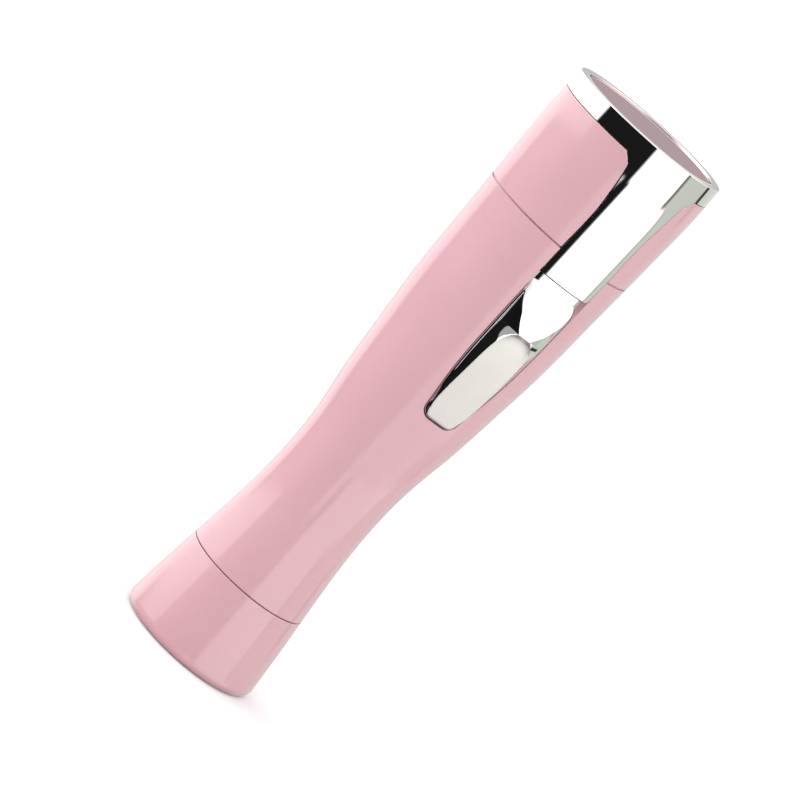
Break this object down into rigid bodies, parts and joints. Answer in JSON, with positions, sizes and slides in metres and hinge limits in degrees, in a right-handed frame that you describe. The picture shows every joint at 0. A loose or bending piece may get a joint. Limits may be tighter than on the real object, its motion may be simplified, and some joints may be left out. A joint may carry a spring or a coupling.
{
  "type": "epilator",
  "caption": "Slim waisted battery epilator with glossy shell, pull-off mirror cap with a metal-bright tongue, thumb slide switch, removable tweezer head and pull-off battery cap.",
  "frame": {"origin": "centre of the flat underside of the base cap", "axes": "+Z along the handle towards the mirror in the cap; the slide switch and the tongue face -Y"},
  "size_m": [0.0366, 0.0366, 0.14],
  "materials": {
    "pink_shell": "glossy moulded ABS, pale pink",
    "chrome_trim": "chrome-plated ABS, mirror bright",
    "satin_nickel": "satin electroplate, matt warm nickel",
    "mirror_glass": "rose-tinted mirror",
    "foam_tape": "white foam tape",
    "seal_rubber": "black rubber",
    "white_plastic": "natural white ABS",
    "guard_plastic": "glossy white ABS",
    "black_plastic": "black POM",
    "switch_metal": "tinned steel case",
    "spring_steel": "nickel-plated spring steel",
    "motor_steel": "zinc-plated drawn steel",
    "bronze": "sintered bronze",
    "ferrite": "ferrite, matt",
    "brass_contact": "brass strip",
    "screw_steel": "zinc-plated",
    "red_lead": "PVC insulation",
    "black_lead": "PVC insulation",
    "board_laminate": "green solder mask",
    "shaft_steel": "ground steel",
    "brass_gear": "machined brass",
    "lamination_steel": "laminated steel",
    "copper": "copper",
    "tweezer_steel": "stainless, polished edges",
    "drum_plastic": "white POM",
    "nylon_gear": "natural nylon",
    "cell_wrap": "plain dark sleeve, no marks",
    "cell_steel": "nickel-plated"
  },
  "bodies": {
    "handle": {"body_shell": "pink_shell", "seal_ring": "seal_rubber", "battery_tube": "white_plastic", "positive_contact": "spring_steel", "negative_strip": "spring_steel", "motor_holder": "white_plastic", "motor_can": "motor_steel", "motor_end_cap": "black_plastic", "motor_bushes": "bronze", "motor_magnets": "ferrite", "motor_terminals": "brass_contact", "motor_clamp": "white_plastic", "clamp_screws": "screw_steel", "battery_leads": "red_lead", "motor_leads": "black_lead", "circuit_board": "board_laminate", "switch_case": "switch_metal"},
    "slider": {"slide_button": "chrome_trim", "thumb_pad": "satin_nickel", "slide_carrier": "black_plastic", "switch_knob": "black_plastic"},
    "rotor": {"motor_shaft": "shaft_steel", "motor_pinion": "brass_gear", "armature": "lamination_steel", "commutator": "copper"},
    "head": {"head_frame": "white_plastic", "head_cover": "guard_plastic", "drum_bushes": "bronze", "idler_pin": "shaft_steel"},
    "drum": {"drum_axle": "shaft_steel", "tweezer_plates": "tweezer_steel", "drum_spacers": "drum_plastic", "gap_washers": "tweezer_steel", "push_rods": "shaft_steel", "drum_gear": "nylon_gear"},
    "crown": {"crown_shaft": "shaft_steel", "crown_gear": "nylon_gear", "shaft_gear": "nylon_gear"},
    "idler": {"idler_gear": "nylon_gear"},
    "cap": {"cap_shell": "pink_shell", "chrome_bezel": "chrome_trim", "mirror_disc": "mirror_glass", "mirror_tape": "foam_tape"},
    "battery": {"battery_can": "cell_wrap", "battery_nub": "cell_steel"},
    "base_cap": {"base_cap_shell": "pink_shell", "base_contact": "spring_steel", "contact_spring": "spring_steel"}
  },
  "joints": [
    {"name": "switch_slide", "type": "slide", "parent": "handle", "child": "slider", "axis": [0, -0.0715, 0.9974], "range_m": [0, 0.002]},
    {"name": "head_lift", "type": "slide", "parent": "handle", "child": "head", "axis": [0, 0, 1], "range_m": [0, 0.025]},
    {"name": "cap_lift", "type": "slide", "parent": "head", "child": "cap", "axis": [0, 0, 1], "range_m": [0, 0.04]},
    {"name": "rotor_spin", "type": "hinge", "parent": "handle", "child": "rotor", "pos_m": [0, 0, 0.1], "axis": [0, 0, 1], "continuous": true},
    {"name": "crown_spin", "type": "hinge", "parent": "head", "child": "crown", "pos_m": [0, 0, 0.117], "axis": [1, 0, 0], "continuous": true},
    {"name": "idler_spin", "type": "hinge", "parent": "head", "child": "idler", "pos_m": [0, 0.00508, 0.12019], "axis": [1, 0, 0], "continuous": true},
    {"name": "drum_spin", "type": "hinge", "parent": "head", "child": "drum", "pos_m": [0, 0, 0.127], "axis": [1, 0, 0], "continuous": true},
    {"name": "battery_slide", "type": "slide", "parent": "handle", "child": "battery", "axis": [0, 0, -1], "range_m": [0, 0.06]},
    {"name": "base_cap_pull", "type": "slide", "parent": "battery", "child": "base_cap", "axis": [0, 0, -1], "range_m": [0, 0.03]}
  ],
  "couplings": [
    {"joint": "crown_spin", "follows": "rotor_spin", "ratio": 0.57143},
    {"joint": "idler_spin", "follows": "rotor_spin", "ratio": -0.40816},
    {"joint": "drum_spin", "follows": "rotor_spin", "ratio": 0.28571}
  ]
}
